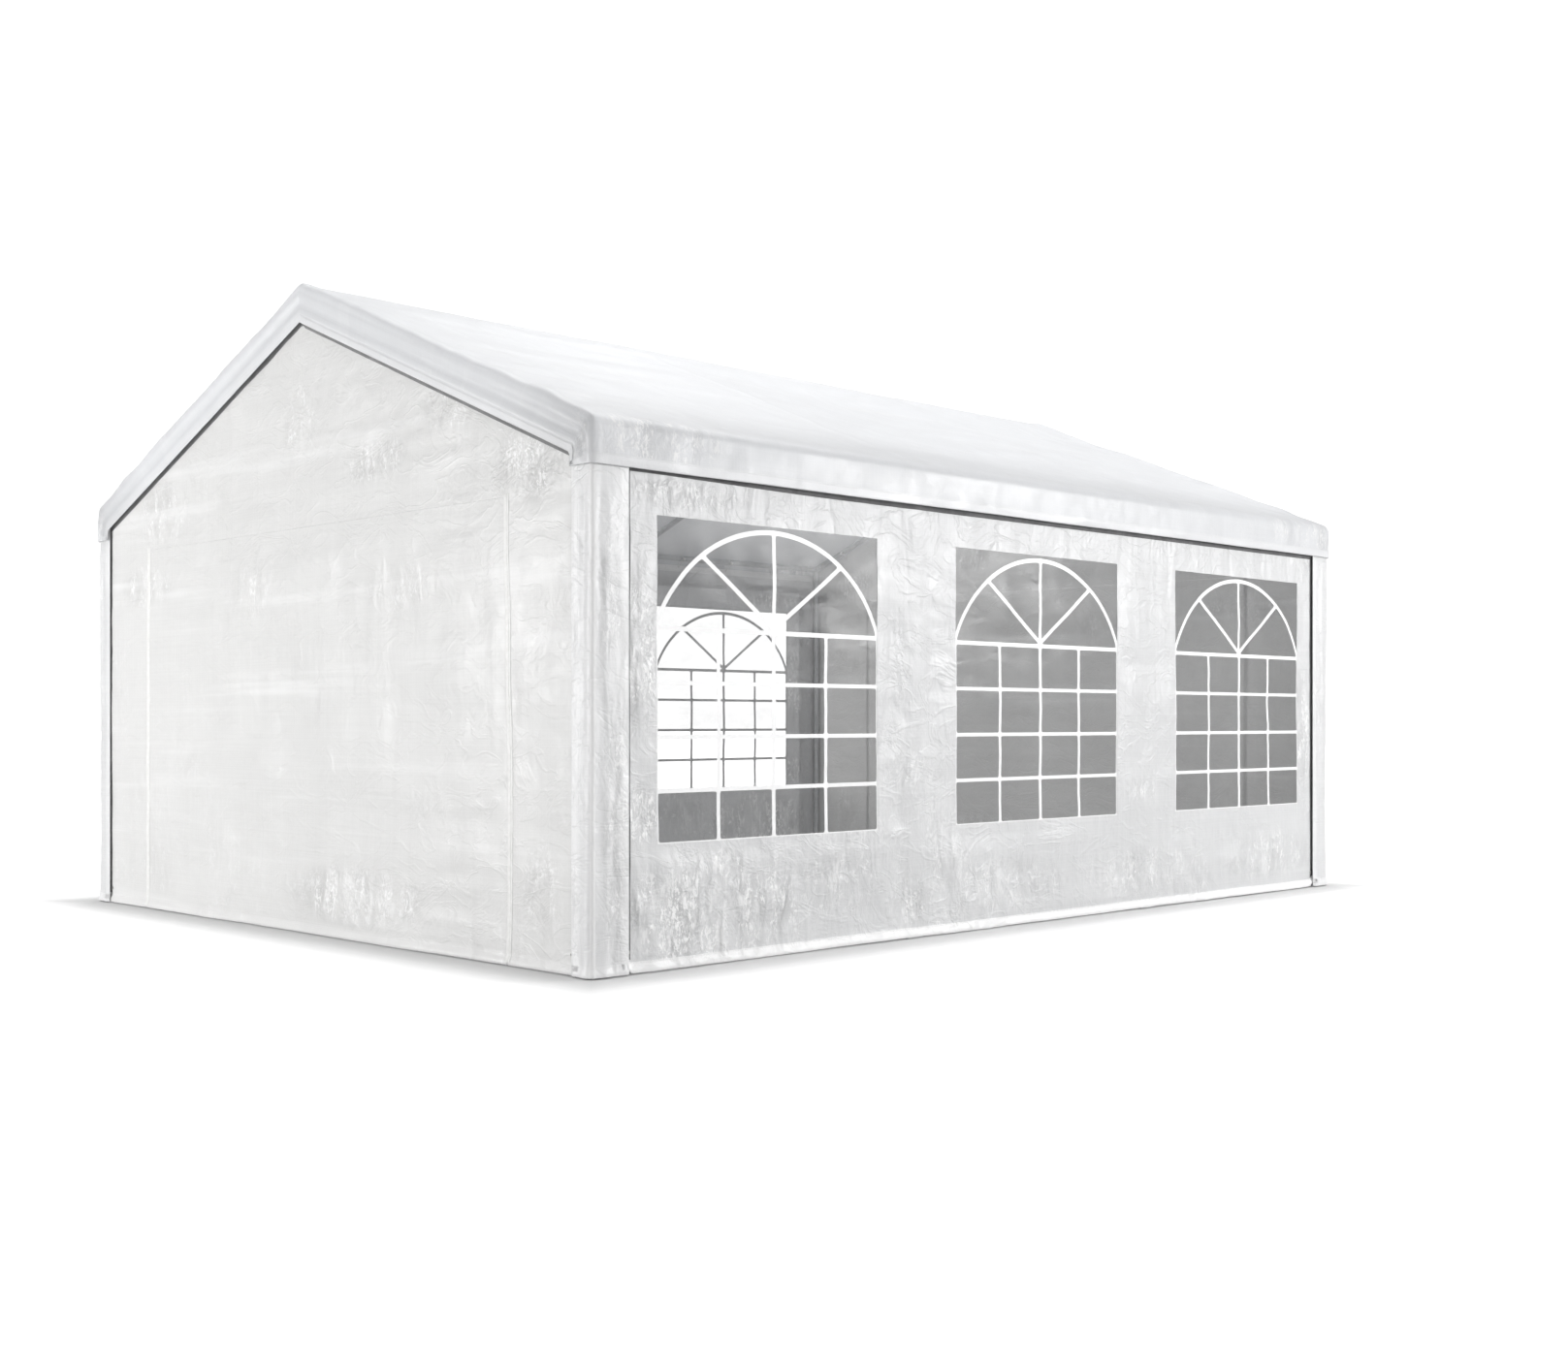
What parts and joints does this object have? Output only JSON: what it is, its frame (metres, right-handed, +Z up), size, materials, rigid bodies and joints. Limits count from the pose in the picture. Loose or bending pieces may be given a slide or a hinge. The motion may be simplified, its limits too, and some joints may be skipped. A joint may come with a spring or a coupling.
{
  "type": "marquee tent",
  "caption": "Closed party tent: steel pole frame, pitched roof cover with valance, wrapped corners, zipped gable ends and side walls with arched-bar film windows.",
  "frame": {"origin": "on the ground at the middle of the plan, under the middle of the ridge", "axes": "+X along the ridge, +Y to the back long wall, +Z up; the front long wall is at -Y and the left gable at -X"},
  "size_m": [6, 4, 3.005],
  "materials": {
    "steel_poles": "galvanised, dull grey",
    "white_sheet": "white coated woven polyethylene, semi-gloss with fine creases",
    "window_film": "clear film with white printed bars"
  },
  "bodies": {
    "root": {"back_wall": "white_sheet", "back_window_film_1": "window_film", "back_window_film_2": "window_film", "back_window_film_3": "window_film", "corner_cover_back_left": "white_sheet", "corner_cover_back_right": "white_sheet", "corner_cover_front_left": "white_sheet", "corner_cover_front_right": "white_sheet", "eave_joint_back_1": "steel_poles", "eave_joint_back_2": "steel_poles", "eave_joint_back_3": "steel_poles", "eave_joint_back_4": "steel_poles", "eave_joint_front_1": "steel_poles", "eave_joint_front_2": "steel_poles", "eave_joint_front_3": "steel_poles", "eave_joint_front_4": "steel_poles", "eave_rail_back_1": "steel_poles", "eave_rail_back_2": "steel_poles", "eave_rail_back_3": "steel_poles", "eave_rail_front_1": "steel_poles", "eave_rail_front_2": "steel_poles", "eave_rail_front_3": "steel_poles", "front_wall": "white_sheet", "front_window_film_1": "window_film", "front_window_film_2": "window_film", "front_window_film_3": "window_film", "left_gable_door_flap": "white_sheet", "left_gable_wall": "white_sheet", "post_back_1": "steel_poles", "post_back_2": "steel_poles", "post_back_3": "steel_poles", "post_back_4": "steel_poles", "post_front_1": "steel_poles", "post_front_2": "steel_poles", "post_front_3": "steel_poles", "post_front_4": "steel_poles", "rafter_back_1": "steel_poles", "rafter_back_2": "steel_poles", "rafter_back_3": "steel_poles", "rafter_back_4": "steel_poles", "rafter_front_1": "steel_poles", "rafter_front_2": "steel_poles", "rafter_front_3": "steel_poles", "rafter_front_4": "steel_poles", "ridge_joint_1": "steel_poles", "ridge_joint_2": "steel_poles", "ridge_joint_3": "steel_poles", "ridge_joint_4": "steel_poles", "ridge_rail_1": "steel_poles", "ridge_rail_2": "steel_poles", "ridge_rail_3": "steel_poles", "right_gable_door_flap": "white_sheet", "right_gable_wall": "white_sheet", "roof_cover": "white_sheet"}
  },
  "joints": []
}
